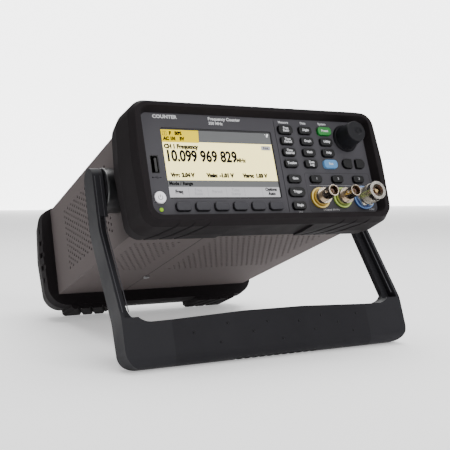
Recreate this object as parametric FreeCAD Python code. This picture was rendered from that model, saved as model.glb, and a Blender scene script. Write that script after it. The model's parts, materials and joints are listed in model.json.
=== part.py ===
# Bench frequency counter standing on its tilt handle.
# Everything is drawn in the counter's own upright frame: X to the right, Y to the rear,
# Z up, x = 0 in the middle, y = 0 on the face of the front panel, z = 0 under the case.
# The last step tilts the whole counter back until handle and rear feet touch the floor.
import FreeCAD, Part
import math
import os

V = FreeCAD.Vector

# ---------------------------------------------------------------- driving sizes (mm)
case_w = 212.8            # width of the sheet metal case
case_h = 88.3             # height of the case
case_len = 268.0          # length of the case behind the panel face
sheet = 1.2               # sheet thickness of the sleeve
tray_t = 1.5              # thickness of the chassis tray inside the sleeve
panel_t = 3.0             # front panel thickness
rear_t = 1.5              # rear panel thickness
bumper_wall = 13.1        # bumpers stand this far out from the case sides
bumper_half = case_w / 2.0 + bumper_wall
bumper_front = 8.0        # front rim stands this far ahead of the panel
bumper_back = 36.0        # rear edge of the front bumper
bumper_rise = 7.7         # front bumper above the case
bumper_top = case_h + bumper_rise
bumper_low = 8.0          # front bumper below the case
rear_grip = 12.0          # rear bumper overlaps the case by this much
rear_bumper_y = case_len - rear_grip
rear_reach = 27.0         # rear bumper stands this far behind the case
rear_bumper_end = case_len + rear_reach
rear_rise = 4.7           # rear bumper above the case
rear_bumper_top = case_h + rear_rise
rear_foot = 16.0          # rear feet below the case
rim_side = 1.4            # panel edge hidden by the rim at each side
rim_top = 3.4             # panel edge hidden by the rim at the top
rim_low = 1.8             # panel edge hidden by the rim at the bottom

hub_y = 63.0              # handle axis behind the panel face
hub_drop = 1.15           # handle axis below the middle of the case side
hub_z = case_h / 2.0 - hub_drop
hub_r = 18.5              # pivot hub radius
pin_r = 7.5               # pivot pin radius
pin_len = 5.5             # pivot pin length inside the arm
pin_clear = 0.08          # radial clearance of the pin in the arm
arm_gap = 0.4             # gap between hub face and arm
arm_t = 9.6               # arm thickness
handle_clear = 1.4        # gap between bumper and arm
handle_half = bumper_half + handle_clear + arm_t
arm_d = 21.0              # arm depth
rib_half = 1.7            # half thickness of the rib inside each arm
arm_wall = 3.2            # outer wall of each arm
bar_y = 36.0              # centre of the crossbar
bar_low = 106.4           # crossbar bottom below the case
bar_h = 33.5              # crossbar height
bar_bow = 3.0             # extra height of the crossbar in the middle
grip_half = 91.0          # half length of the grip
grip_t = 2.2              # grip wall
flute_count = 11          # finger flutes under the grip
flute_x0 = -35.0
flute_pitch = 7.0
flute_r = 3.0
flute_depth = 1.2

window_w = 100.0          # display window
window_h = 58.6
window_x = -40.0          # window centre
window_z = 43.8
window_t = 1.2
key_w = 12.6              # ordinary key
key_h = 6.8
key_proud = 2.4           # key above the panel
key_clear = 0.35          # gap around a key
key_flange = 0.8          # flange around the key foot
key_travel = 1.0          # travel of every key
key_r = 2.4               # corner radius of the keys
soft_w = 12.6             # keys under the display
soft_h = 6.8
grid_x = [24.1, 43.8, 63.5]
grid_z = [74.8, 64.8, 54.7, 44.6]
low_z = [31.1, 19.6, 7.9]
low_x = 24.5
channel_key_x = [45.8, 67.8, 89.8]
soft_x0 = -79.9
soft_pitch = 16.45
soft_z = 7.9
jack_x = [46.8, 69.2, 91.8]
jack_z = 14.5
jack_out = 21.0           # jack mouths ahead of the panel
bnc_r = 4.83              # bayonet shell radius
n_r = 7.94                # threaded jack radius
ring_wall = 2.46          # coloured ring around the threaded jack
ring_r = [9.0, 9.0, n_r + ring_wall]
ring_t = 1.6
jack_clear = 0.3          # gap around the jacks in the panel
knob_x = 85.2
knob_z = 69.2
knob_r = 9.2
knob_flange = 3.3         # foot of the knob beyond its cap
knob_flange_r = knob_r + knob_flange
knob_proud = 17.5
shaft_r = 3.0
shaft_clear = 0.08
shaft_len = 10.0          # encoder shaft ahead of the panel face
arrow_x = [81.3, 94.9]
arrow_z = 45.4
arrow_w = 9.4
arrow_h = 8.4
power_x = -98.3
power_z = 15.3
power_r = 4.8
lamp_z = 5.9
lamp_r = 1.5
usb_x = -98.4
usb_z = 42.3
usb_w = 7.0
usb_h = 14.8
usb_d = 17.0
board_y = 8.0             # front face of the key board
board_t = 1.6
post_z = 26.6             # lower row of posts between panel and key board
switch_gap = 0.15         # gap left under a pressed key

fan_x = 66.0
fan_z = 44.0
fan_r = 28.0
fan_size = 60.0
fan_depth = 15.0

node = {}


# ---------------------------------------------------------------- basic shapes
def box(x0, x1, y0, y1, z0, z1):
    return Part.makeBox(x1 - x0, y1 - y0, z1 - z0, V(x0, y0, z0))


def rod(x, z, r, y0, y1):
    return Part.makeCylinder(r, y1 - y0, V(x, y0, z), V(0, 1, 0))


def cross_rod(x0, x1, y, z, r):
    return Part.makeCylinder(r, x1 - x0, V(x0, y, z), V(1, 0, 0))


def cone(x, z, r0, r1, y0, y1):
    return Part.makeCone(r0, r1, y1 - y0, V(x, y0, z), V(0, 1, 0))


def outline(points, radii, place):
    """Closed wire through the points with rounded corners; place maps (u, v) to space."""
    n = len(points)
    edges = []
    starts = []
    ends = []
    mids = []
    for i in range(n):
        px, pz = points[i]
        ax, az = points[i - 1]
        bx, bz = points[(i + 1) % n]
        la = math.hypot(ax - px, az - pz)
        lb = math.hypot(bx - px, bz - pz)
        ua = ((ax - px) / la, (az - pz) / la)
        ub = ((bx - px) / lb, (bz - pz) / lb)
        turn = math.acos(max(-1.0, min(1.0, ua[0] * ub[0] + ua[1] * ub[1])))
        r = radii[i]
        cut = r / math.tan(turn / 2.0)
        starts.append((px + ua[0] * cut, pz + ua[1] * cut))
        ends.append((px + ub[0] * cut, pz + ub[1] * cut))
        bis = (ua[0] + ub[0], ua[1] + ub[1])
        lbis = math.hypot(bis[0], bis[1])
        reach = r / math.sin(turn / 2.0) - r
        mids.append((px + bis[0] / lbis * reach, pz + bis[1] / lbis * reach))
    for i in range(n):
        if radii[i] > 0:
            arc = Part.Arc(place(*starts[i]), place(*mids[i]), place(*ends[i]))
            edges.append(arc.toShape())
        a = place(*ends[i])
        b = place(*starts[(i + 1) % n])
        if a.distanceToPoint(b) > 1e-6:
            edges.append(Part.makeLine(a, b))
    return Part.Wire(edges)


def rect_points(x0, x1, z0, z1):
    return [(x0, z0), (x1, z0), (x1, z1), (x0, z1)]


def front_wire(x0, x1, z0, z1, r, y):
    def place(u, v):
        return V(u, y, v)
    return outline(rect_points(x0, x1, z0, z1), [r] * 4, place)


def slab(x0, x1, z0, z1, r, y0, y1):
    """Rounded rectangle facing the front, from y0 to y1."""
    face = Part.Face(front_wire(x0, x1, z0, z1, r, y0))
    return face.extrude(V(0, y1 - y0, 0))


def side_prism(points, radii, x0, x1):
    def place(u, v):
        return V(x0, u, v)
    face = Part.Face(outline(points, radii, place))
    return face.extrude(V(x1 - x0, 0, 0))


def front_prism(points, radii, y0, y1):
    def place(u, v):
        return V(u, y0, v)
    face = Part.Face(outline(points, radii, place))
    return face.extrude(V(0, y1 - y0, 0))


def fuse_all(shapes):
    return shapes[0].multiFuse(shapes[1:]).removeSplitter()


# ---------------------------------------------------------------- case
def hole_wire(u, v, r, place):
    """Six-sided hole, drawn clockwise so that the face leaves it open."""
    points = []
    for k in range(7):
        a = -math.pi * (k % 6) / 3.0
        points.append(place(u + r * math.cos(a), v + r * math.sin(a)))
    return Part.makePolygon(points)


def lattice(u0, u1, v0, v1, pitch_u, pitch_v):
    """Staggered rows of hole centres filling a rectangle."""
    centres = []
    rows = int((v1 - v0) / (pitch_v / 2.0) + 0.5)
    for j in range(rows + 1):
        shift = pitch_u / 2.0 if j % 2 else 0.0
        u = u0 + shift
        while u <= u1 + 0.01:
            centres.append((u, v0 + j * pitch_v / 2.0))
            u += pitch_u
    return centres


def vented_side(x0):
    def place(u, v):
        return V(x0, u, v)
    y0 = panel_t
    corner = [place(y0, 0), place(case_len, 0), place(case_len, case_h), place(y0, case_h), place(y0, 0)]
    wires = [Part.makePolygon(corner)]
    middle = case_h / 2.0
    span = case_len * 0.468
    start = case_len * 0.32
    for u, v in lattice(start, start + span, middle - 28.5, middle + 28.5, 11.2, 5.7):
        wires.append(hole_wire(u, v, 1.45, place))
    face = Part.Face(wires)
    return face.extrude(V(sheet, 0, 0))


def vented_bottom():
    def place(u, v):
        return V(v, u, 0)
    w = case_w / 2.0
    y0 = panel_t
    corner = [place(y0, -w), place(case_len, -w), place(case_len, w), place(y0, w), place(y0, -w)]
    wires = [Part.makePolygon(corner)]
    start = case_len * 0.205
    for u, v in lattice(start, start + 112.0, -22.0, 86.0, 11.2, 5.7):
        wires.append(hole_wire(u, v, 1.3, place))
    for u, v in lattice(start + 18.0, start + 112.0, -93.0, -53.1, 11.2, 5.7):
        wires.append(hole_wire(u, v, 1.3, place))
    face = Part.Face(wires)
    return face.extrude(V(0, 0, sheet))


def make_case():
    w = case_w / 2.0
    left = vented_side(-w)
    right = vented_side(w - sheet)
    bottom = vented_bottom()
    top = box(-w, w, panel_t, case_len, case_h - sheet, case_h)
    node["case_sleeve"] = left.multiFuse([right, bottom, top])
    inner = w - sheet
    floor_z = sheet
    plate = box(-inner, inner, panel_t, case_len - rear_t, floor_z, floor_z + tray_t)
    flange_l = box(-inner, -inner + tray_t, panel_t, case_len - rear_t, floor_z, floor_z + 12.0)
    flange_r = box(inner - tray_t, inner, panel_t, case_len - rear_t, floor_z, floor_z + 12.0)
    tray = [plate, flange_l, flange_r]
    for x in post_x:
        for y in post_y:
            tray.append(Part.makeCylinder(3.0, post_h, V(x, y, floor_z + tray_t)))
    tray = fuse_all(tray)
    vents = []
    for u, v in lattice(case_len * 0.205, case_len * 0.205 + 112.0, -22.0, 86.0, 22.4, 22.8):
        vents.append(Part.makeCylinder(4.5, 4.0, V(v, u, 0)))
    node["chassis_tray"] = tray.cut(Part.makeCompound(vents))


post_x = [12.4 - case_w / 2.0, -18.0, 26.0, case_w / 2.0 - 12.4]
post_y = [30.0, case_len - 32.0]
post_h = 5.0


def make_boards():
    z0 = sheet + tray_t + post_h
    edge = case_w / 2.0 - 6.4
    back = case_len - 26.0
    main = [box(-22.0, edge, 24.0, back, z0, z0 + 1.6)]
    main.append(box(10.0, 42.0, 60.0, 92.0, z0 + 1.6, z0 + 4.6))
    main.append(box(55.0, 79.0, 66.0, 90.0, z0 + 1.6, z0 + 4.0))
    main.append(box(-8.0, 16.0, 130.0, 150.0, z0 + 1.6, z0 + 14.0))
    main.append(box(30.0, 90.0, 26.0, 52.0, z0 + 1.6, z0 + 10.0))
    node["main_board"] = fuse_all(main)
    supply = [box(2.0 - edge, -26.0, 24.0, back, z0, z0 + 1.6)]
    supply.append(box(-86.0, -50.0, 110.0, 150.0, z0 + 1.6, z0 + 30.0))
    supply.append(box(-92.0, -86.0, 50.0, 96.0, z0 + 1.6, z0 + 32.0))
    for k in range(3):
        can = Part.makeCylinder(9.0, 30.0, V(-74.0 + 20.0 * k, 178.0, z0 + 1.6))
        supply.append(can)
    node["power_supply_board"] = fuse_all(supply)


# ---------------------------------------------------------------- bumpers
def bumper_wire(half, low, top, y, lean, corner, low_corner):
    """Bumper outline: widest a little above the middle, with rounded corners."""
    mid = low + (top - low) * 0.52
    points = [(-half + lean, low), (half - lean, low), (half, mid)]
    points += [(half - lean, top), (-half + lean, top), (-half, mid)]
    radii = [low_corner, low_corner, 90.0, corner, corner, 90.0]

    def place(u, v):
        return V(u, y, v)
    return outline(points, radii, place)


def front_cavity():
    w = case_w / 2.0
    body = box(-w, w, 0, bumper_back + 1, 0, case_h)
    near = front_wire(-w + rim_side, w - rim_side, rim_low, case_h - rim_top, 5.0, 0.1)
    far = front_wire(-w - 1.6, w + 1.6, -0.4, case_h - 0.6, 8.0, -bumper_front - 0.1)
    funnel = Part.makeLoft([near, far], True, True)
    return body, funnel


def foot_grooves(x_from, side, y0, y1, low, slant):
    """Three slanted grooves across the underside of one foot."""
    cuts = []
    for k in range(3):
        x = side * (x_from + k * 13.0)
        lean = side * slant
        pts = [V(x - 2.6, y0, low - 1), V(x + 2.6, y0, low - 1), V(x, y0, low + 2.6), V(x - 2.6, y0, low - 1)]
        face = Part.Face(Part.makePolygon(pts))
        cuts.append(face.extrude(V(-lean, y1 - y0, 0)))
    return cuts


def make_front_bumper():
    w0 = bumper_wire(bumper_half - 5.5, -4.5, bumper_top - 5.2, -bumper_front, 2.0, 12.0, 12.0)
    w1 = bumper_wire(bumper_half - 2.5, -bumper_low + 0.6, bumper_top - 0.6, -bumper_front + 8.5, 2.5, 16.0, 12.0)
    w2 = bumper_wire(bumper_half, -bumper_low, bumper_top, bumper_back * 0.6, 3.0, 18.0, 12.0)
    w3 = bumper_wire(bumper_half - 1.5, -bumper_low + 1.0, bumper_top - 1.5, bumper_back, 3.0, 18.0, 12.0)
    skin = Part.makeLoft([w0, w1], True, True)
    skin = skin.fuse(Part.makeLoft([w1, w2], True, True))
    skin = skin.fuse(Part.makeLoft([w2, w3], True, True))
    body, funnel = front_cavity()
    skin = skin.cut(body).cut(funnel)
    recess = box(-38.0, 38.0, 2.0, bumper_back + 1, -bumper_low - 2, -bumper_low + 2.2)
    cuts = [recess]
    cuts += foot_grooves(60.0, -1, -bumper_front + 1.0, bumper_back + 1, -bumper_low, -16.0)
    cuts += foot_grooves(66.0, 1, -bumper_front + 1.0, bumper_back + 1, -bumper_low, 22.0)
    for tool in cuts:
        skin = skin.cut(tool)
    node["front_bumper"] = skin.removeSplitter()


def make_rear_bumper():
    y0 = rear_bumper_y
    y1 = rear_bumper_end
    low = -rear_foot + 3.5
    w0 = bumper_wire(bumper_half - 1.0, low + 1.0, rear_bumper_top - 1.0, y0, 3.0, 16.0, 20.0)
    w1 = bumper_wire(bumper_half, low, rear_bumper_top, y0 + 12.0, 3.0, 16.0, 20.0)
    w2 = bumper_wire(bumper_half - 5.0, low + 3.0, rear_bumper_top - 3.0, y1, 3.0, 14.0, 18.0)
    skin = Part.makeLoft([w0, w1], True, True).fuse(Part.makeLoft([w1, w2], True, True))
    for side in (-1, 1):
        a = min(side * 46.0, side * 94.0)
        foot = slab(a, a + 48.0, -rear_foot, low + 8.0, 4.0, y0 + 1.0, y1 - 1.5)
        skin = skin.fuse(foot)
    w = case_w / 2.0
    skin = skin.cut(box(-w, w, y0 - 1, case_len, 0, case_h))
    inner = front_wire(-w + 5, w - 5, 4.0, case_h - 4, 12.0, case_len - 0.5)
    outer = front_wire(-w + 1, w - 1, 2.0, case_h - 4, 16.0, y1 + 0.5)
    skin = skin.cut(Part.makeLoft([inner, outer], True, True))
    tools = foot_grooves(62.0, -1, y0 - 1, y1 + 1, -rear_foot, 16.0) + foot_grooves(62.0, 1, y0 - 1, y1 + 1, -rear_foot, 16.0)
    for tool in tools:
        skin = skin.cut(tool)
    for side in (-1, 1):
        for k in range(5):
            z = 14.0 + 13.0 * k
            a = min(side * (bumper_half - 2.4), side * (bumper_half + 2.0))
            skin = skin.cut(box(a, a + 4.4, y0 - 1, y0 + 9.0, z, z + 5.0))
    node["rear_bumper"] = skin.removeSplitter()


# ---------------------------------------------------------------- front panel
def key_list():
    """Name, centre, size and corner radius of every rectangular key."""
    keys = []
    names = ["counter", "period", "interval", "digits", "scale", "statistics"]
    names += ["limits", "filter", "preset", "graph", "utility", "run"]
    for c in range(3):
        for r in range(4):
            wide = 1.6 if (c == 0 and r == 0) else 0.0
            if c == 2 and r in (0, 3):
                wide = 1.2
            item = ("key_" + names[c * 4 + r], grid_x[c], grid_z[r], key_w + wide, key_h + wide * 0.6, key_r + wide * 0.4)
            keys.append(item)
    for r in range(3):
        wide = 2.6 if r == 1 else 0.0
        name = ("key_gate", "key_trigger", "key_single")[r]
        keys.append((name, low_x, low_z[r], key_w + wide, key_h + wide * 0.4, key_r + wide * 0.4))
    for c in range(3):
        keys.append(("channel_key_%d" % (c + 1), channel_key_x[c], low_z[0], key_w - 1.4, key_h - 0.4, key_r))
    for k in range(6):
        keys.append(("softkey_%d" % (k + 1), soft_x0 + soft_pitch * k, soft_z, soft_w, soft_h, key_r))
    return keys


def make_keys():
    foot_y = panel_t
    stem_end = board_y - 1.5 - switch_gap - key_travel
    for name, x, z, w, h, r in key_list():
        cap = slab(x - w / 2, x + w / 2, z - h / 2, z + h / 2, r, -key_proud, foot_y)
        front = [e for e in cap.Edges if e.BoundBox.YMax < -key_proud + 0.001]
        cap = cap.makeFillet(0.6, front)
        f = key_flange
        flange = slab(x - w / 2 - f, x + w / 2 + f, z - h / 2 - f, z + h / 2 + f, r, foot_y, foot_y + 1.0)
        stem = rod(x, z, 1.6, foot_y + 1.0, stem_end)
        node[name] = fuse_all([cap, flange, stem])
    for side, name in ((-1, "key_arrow_left"), (1, "key_arrow_right")):
        x = arrow_x[0] if side < 0 else arrow_x[1]
        w = arrow_w / 2
        h = arrow_h / 2
        points = [(x - side * w, arrow_z - h), (x + side * w, arrow_z - h)]
        points += [(x + side * w, arrow_z + h), (x - side * w, arrow_z + h)]
        radii = [1.2, 4.1, 4.1, 1.2]
        cap = front_prism(points, radii, -key_proud, foot_y)
        front = [e for e in cap.Edges if e.BoundBox.YMax < -key_proud + 0.001]
        cap = cap.makeFillet(0.6, front)
        flange = slab(x - w - 0.6, x + w + 0.6, arrow_z - h - 0.6, arrow_z + h + 0.6, 2.0, foot_y, foot_y + 1.0)
        stem = rod(x, arrow_z, 1.6, foot_y + 1.0, stem_end)
        node[name] = fuse_all([cap, flange, stem])
    cap = rod(power_x, power_z, power_r, -1.8, foot_y)
    front = [e for e in cap.Edges if e.BoundBox.YMax < -1.799]
    cap = cap.makeFillet(0.7, front)
    flange = rod(power_x, power_z, power_r + 0.7, foot_y, foot_y + 1.0)
    stem = rod(power_x, power_z, 1.6, foot_y + 1.0, stem_end)
    node["power_button"] = fuse_all([cap, flange, stem])


def key_holes():
    """Clearance openings of all keys through the panel."""
    tools = []
    c = key_clear
    for name, x, z, w, h, r in key_list():
        tools.append(slab(x - w / 2 - c, x + w / 2 + c, z - h / 2 - c, z + h / 2 + c, r + c, -1, panel_t + 1))
    for side in (0, 1):
        s = 2 * side - 1
        w = arrow_w / 2 + c
        h = arrow_h / 2 + c
        x = arrow_x[side]
        points = [(x - s * w, arrow_z - h), (x + s * w, arrow_z - h)]
        points += [(x + s * w, arrow_z + h), (x - s * w, arrow_z + h)]
        tools.append(front_prism(points, [1.2 + c, 4.1 + c, 4.1 + c, 1.2 + c], -1, panel_t + 1))
    tools.append(rod(power_x, power_z, power_r + c, -1, panel_t + 1))
    return tools


def key_places():
    places = [(x, z) for name, x, z, w, h, r in key_list()]
    places += [(arrow_x[0], arrow_z), (arrow_x[1], arrow_z), (power_x, power_z)]
    return places


def make_front_panel():
    w = case_w / 2.0
    plate = box(-w, w, 0, panel_t, 0, case_h)
    tools = key_holes()
    tools.append(slab(window_x - window_w / 2, window_x + window_w / 2, window_z - window_h / 2,
                      window_z + window_h / 2, 2.0, -1, 0.6 + window_t))
    tools.append(slab(window_x - window_w / 2 + 1.0, window_x + window_w / 2 - 1.0,
                      window_z - window_h / 2 + 1.0, window_z + window_h / 2 - 1.0, 1.0, 0, panel_t + 1))
    for x, r in zip(jack_x, (6.4, 6.4, n_r)):
        tools.append(rod(x, jack_z, r + jack_clear, -1, panel_t + 1))
    tools.append(rod(knob_x, knob_z, shaft_r + 0.6, -1, panel_t + 1))
    tools.append(rod(power_x, lamp_z, lamp_r, -1, panel_t + 1))
    tools.append(slab(usb_x - usb_w / 2, usb_x + usb_w / 2, usb_z - usb_h / 2, usb_z + usb_h / 2, 0.8, -1, panel_t + 1))
    dish = Part.makeSphere(14.0, V(power_x, -13.2, power_z))
    plate = plate.cut(dish)
    plate = plate.cut(Part.makeCompound(tools))
    groove = box(window_x + window_w / 2 + 4.2, window_x + window_w / 2 + 4.8, -1, 0.5, 3.0, case_h - 5.0)
    line_x0 = jack_x[0] - 8.0
    line = box(line_x0, jack_x[2] + 3.0, -1, 0.3, jack_z + 11.4, jack_z + 11.8)
    node["front_panel"] = plate.cut(groove).cut(line)


def make_display():
    node["display_window"] = slab(window_x - window_w / 2, window_x + window_w / 2, window_z - window_h / 2,
                                  window_z + window_h / 2, 2.0, 0.6, 0.6 + window_t)
    x0 = window_x - window_w / 2 - 2.0
    x1 = window_x + window_w / 2 + 2.0
    z0 = window_z - window_h / 2 - 1.0
    z1 = window_z + window_h / 2 + 1.0
    node["display_module"] = box(x0, x1, panel_t, panel_t + 4.5, z0, z1)


def make_key_board():
    w = case_w / 2.0 - sheet - tray_t - 0.3
    y0 = board_y
    plate = box(-w, w, y0, y0 + board_t, sheet + tray_t + 0.5, case_h - sheet - 1.5)
    tools = []
    for x, r in zip(jack_x, (7.2, 7.2, n_r + 0.86)):
        tools.append(rod(x, jack_z, r, y0 - 1, y0 + board_t + 1))
    tools.append(box(usb_x - usb_w / 2 - 0.4, usb_x + usb_w / 2 + 0.4, y0 - 1, y0 + board_t + 1,
                     usb_z - usb_h / 2 - 0.4, usb_z + usb_h / 2 + 0.4))
    plate = plate.cut(Part.makeCompound(tools))
    parts = [plate]
    for x, z in key_places():
        parts.append(box(x - 2.6, x + 2.6, y0 - 1.5, y0, z - 2.6, z + 2.6))
    for x in (-w + 2.5, 14.6, w - 2.5):
        for z in (post_z, case_h - sheet - 4.5):
            parts.append(rod(x, z, 1.8, panel_t, y0))
    node["key_board"] = fuse_all(parts)


# ---------------------------------------------------------------- jacks, port, knob
def hollow(x, z, r_out, r_in, y0, y1):
    return rod(x, z, r_out, y0, y1).cut(rod(x, z, r_in, y0 - 1, y1 + 1))


def make_jacks():
    shells = []
    insulators = []
    contacts = []
    for x in jack_x[:2]:
        shell = [rod(x, jack_z, bnc_r, -jack_out, -ring_t)]
        shell.append(rod(x, jack_z, 6.4, -ring_t, board_y - 1.0))
        shell.append(rod(x, jack_z, 6.9, -jack_out + 13.0, -ring_t))
        for side in (-1, 1):
            shell.append(Part.makeCylinder(1.0, bnc_r + 1.2, V(x, -jack_out + 5.0, jack_z), V(side, 0, 0)))
        body = fuse_all(shell).cut(rod(x, jack_z, 4.0, -jack_out - 1, -jack_out + 12.0))
        body = body.cut(rod(x, jack_z, 1.0, -jack_out, board_y))
        shells.append(body)
        insulators.append(hollow(x, jack_z, 2.2, 1.0, -jack_out + 3.0, -jack_out + 12.0))
        contacts.append(rod(x, jack_z, 1.0, -jack_out + 4.0, board_y - 1.0))
    node["bnc_jacks"] = Part.makeCompound(shells)
    x = jack_x[2]
    shell = [rod(x, jack_z, n_r, -jack_out, board_y - 1.0)]
    shell.append(front_hex(x, jack_z, n_r + 1.2, -ring_t - 3.0, -ring_t))
    body = fuse_all(shell).cut(rod(x, jack_z, 5.4, -jack_out - 1, -jack_out + 10.0))
    body = body.cut(rod(x, jack_z, 1.6, -jack_out, board_y))
    node["n_jack"] = body
    insulators.append(hollow(x, jack_z, 3.6, 1.6, -jack_out + 5.0, -jack_out + 10.0))
    contacts.append(rod(x, jack_z, 1.6, -jack_out + 2.0, board_y - 1.0))
    node["jack_insulators"] = Part.makeCompound(insulators)
    node["jack_contacts"] = Part.makeCompound(contacts)
    for k in range(3):
        bore = 6.4 if k < 2 else n_r
        ring = hollow(jack_x[k], jack_z, ring_r[k], bore, -ring_t, 0)
        node["channel_%d_ring" % (k + 1)] = ring


def front_hex(x, z, r, y0, y1):
    points = []
    for k in range(7):
        a = math.pi * (k % 6) / 3.0
        points.append(V(x + r * math.cos(a), y0, z + r * math.sin(a)))
    return Part.Face(Part.makePolygon(points)).extrude(V(0, y1 - y0, 0))


def make_usb_port():
    x = usb_x
    z = usb_z
    body = box(x - usb_w / 2, x + usb_w / 2, 0.3, usb_d, z - usb_h / 2, z + usb_h / 2)
    body = body.cut(box(x - usb_w / 2 + 0.6, x + usb_w / 2 - 0.6, 0, usb_d - 2.0, z - usb_h / 2 + 0.6, z + usb_h / 2 - 0.6))
    tongue = box(x + 0.3, x + 2.3, 1.3, usb_d - 1.0, z - 5.6, z + 5.6)
    shape = body.fuse(tongue)
    corners = slab(x - usb_w / 2, x + usb_w / 2, z - usb_h / 2, z + usb_h / 2, 0.8, 0.3, panel_t)
    rest = box(x - usb_w / 2, x + usb_w / 2, panel_t, usb_d, z - usb_h / 2, z + usb_h / 2)
    node["usb_host_port"] = shape.common(corners.fuse(rest))
    node["status_lamp"] = rod(power_x, lamp_z, lamp_r, -0.5, board_y)


def make_knob():
    base = cone(knob_x, knob_z, knob_flange_r - 0.8, knob_flange_r, -2.2, -0.4)
    cap = cone(knob_x, knob_z, knob_r, knob_flange_r - 1.9, -knob_proud, -2.2)
    rim = [e for e in cap.Edges if e.BoundBox.YMax < -knob_proud + 0.01]
    cap = cap.makeFillet(0.8, rim)
    solid = base.fuse(cap)
    dimple = Part.makeSphere(5.0, V(knob_x + 2.2, -knob_proud - 3.4, knob_z + 0.4))
    solid = solid.cut(dimple)
    solid = solid.cut(rod(knob_x, knob_z, shaft_r + shaft_clear, -shaft_len, 0))
    node["knob"] = solid.removeSplitter()
    shaft = rod(knob_x, knob_z, shaft_r, -shaft_len + 0.4, board_y - 5.2)
    body = rod(knob_x, knob_z, 6.2, board_y - 4.2, board_y)
    neck = rod(knob_x, knob_z, shaft_r + 0.4, board_y - 5.2, board_y - 4.2)
    node["knob_encoder"] = fuse_all([shaft, neck, body])


# ---------------------------------------------------------------- handle
def arm_path():
    """Side outline of the handle: straight at the hub, then sloping forward to the bar."""
    h = arm_d / 2.0
    top = hub_z + hub_r
    bend = 8.0
    low = -bar_low
    back = bar_y + h
    points = [(hub_y - h, top), (hub_y + h, top), (hub_y + h, bend)]
    points += [(back + 2.0, low + bar_h + 4.0), (back - 0.5, low)]
    points += [(bar_y - h + 0.5, low), (bar_y - h + 0.6, low + bar_h + 4.0), (hub_y - h, bend)]
    radii = [10.3, 10.3, 30.0, 20.0, 8.0, 8.0, 20.0, 30.0]
    return points, radii


def make_handle():
    half = handle_half
    inner = half - arm_t
    low = -bar_low
    points, radii = arm_path()
    side = side_prism(points, radii, -half, half)
    outer_pts = [(-half, low), (half, low), (half - 0.5, hub_z + 22.0), (-half + 0.5, hub_z + 22.0)]
    front = front_prism(outer_pts, [13.0, 13.0, 0, 0], 0, hub_y + arm_d)
    bar_top = low + bar_h
    hole_pts = [(-inner, bar_top), (-grip_half, bar_top + 0.5), (-grip_half * 0.3, bar_top + bar_bow)]
    hole_pts += [(grip_half * 0.3, bar_top + bar_bow), (grip_half, bar_top + 0.5), (inner, bar_top)]
    hole_pts += [(inner, hub_z + 40.0), (-inner, hub_z + 40.0)]
    hole = front_prism(hole_pts, [14.0, 0, 0, 0, 0, 14.0, 0, 0], -10, hub_y + arm_d + 10)
    body = side.common(front).cut(hole)
    for side_sign in (-1, 1):
        a = min(side_sign * (inner - 20.0), side_sign * (half - arm_wall))
        b = max(side_sign * (inner - 20.0), side_sign * (half - arm_wall))
        body = body.cut(Part.makeCompound(arm_pockets(a, b)))
        c = min(side_sign * (inner - 1.0), side_sign * (inner + pin_len + 0.3))
        d = max(side_sign * (inner - 1.0), side_sign * (inner + pin_len + 0.3))
        body = body.cut(cross_rod(c, d, hub_y, hub_z, pin_r + pin_clear))
    full = grip_shape(0.0, grip_half)
    core = grip_shape(grip_t, grip_half)
    body = body.cut(full.cut(core))
    node["handle_frame"] = body.removeSplitter()
    gripped = side.common(front).cut(hole).common(box(-grip_half, grip_half, 0, 100, low - 5, bar_top + 10))
    grip = gripped.common(full).cut(core)
    flutes = []
    for k in range(flute_count):
        x = flute_x0 + flute_pitch * k
        groove = Part.makeCylinder(flute_r, arm_d + 4.0, V(x, bar_y - arm_d / 2.0 - 2.0, low - flute_r + flute_depth), V(0, 1, 0))
        flutes.append(groove)
    node["handle_grip"] = grip.cut(Part.makeCompound(flutes))


def arm_pockets(x0, x1):
    """Hollows either side of the rib that stiffens one arm, open to the inside, front and back."""
    h = arm_d / 2.0
    low = -bar_low + bar_h + bar_bow + 1.5
    top = hub_z - hub_r - 6.0
    tools = []
    for side in (-1, 1):
        top_c = hub_y - 0.5
        bend = 8.0
        low_c = bar_y + 1.4
        reach = h + 6.0
        pts = [(top_c + side * rib_half, top), (top_c + side * reach, top), (top_c + side * reach, bend)]
        pts += [(low_c + side * reach, low), (low_c + side * rib_half, low), (top_c + side * rib_half, bend)]
        tools.append(side_prism(pts, [3.0, 0, 0, 0, 5.0, 20.0], x0, x1))
    return tools


def grip_shape(inset, half):
    """Length of crossbar inside the grip, shrunk all round by the inset."""
    low = -bar_low
    h = arm_d / 2.0
    points = [(bar_y - h - 1 + inset, low - 1 + inset), (bar_y + h + 3 - inset, low - 1 + inset)]
    points += [(bar_y + h + 3 - inset, low + bar_h + 6), (bar_y - h - 1 + inset, low + bar_h + 6)]
    if inset == 0.0:
        return side_prism(points, [0, 0, 0, 0], -half, half)
    top = low + bar_h - inset
    points = [(bar_y - h + 0.5 + inset, low + inset), (bar_y + h - 0.5 - inset, low + inset)]
    points += [(bar_y + h - 0.5 - inset, top), (bar_y - h + 0.5 + inset, top)]
    return side_prism(points, [6.0, 6.0, 4.0, 4.0], -half, half)


def make_hubs():
    w = case_w / 2.0
    inner = handle_half - arm_t
    for side, name in ((-1, "pivot_hub_left"), (1, "pivot_hub_right")):
        face = inner - arm_gap
        a = min(side * w, side * face)
        hub = cross_rod(a, a + face - w, hub_y, hub_z, hub_r)
        rim = [e for e in hub.Edges if abs(abs(e.BoundBox.XMin) - face) < 0.01 and abs(abs(e.BoundBox.XMax) - face) < 0.01]
        hub = hub.makeFillet(1.0, rim)
        b = min(side * (face - 1.0), side * (inner + pin_len))
        c = max(side * (face - 1.0), side * (inner + pin_len))
        node[name] = hub.fuse(cross_rod(b, c, hub_y, hub_z, pin_r)).removeSplitter()


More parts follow.
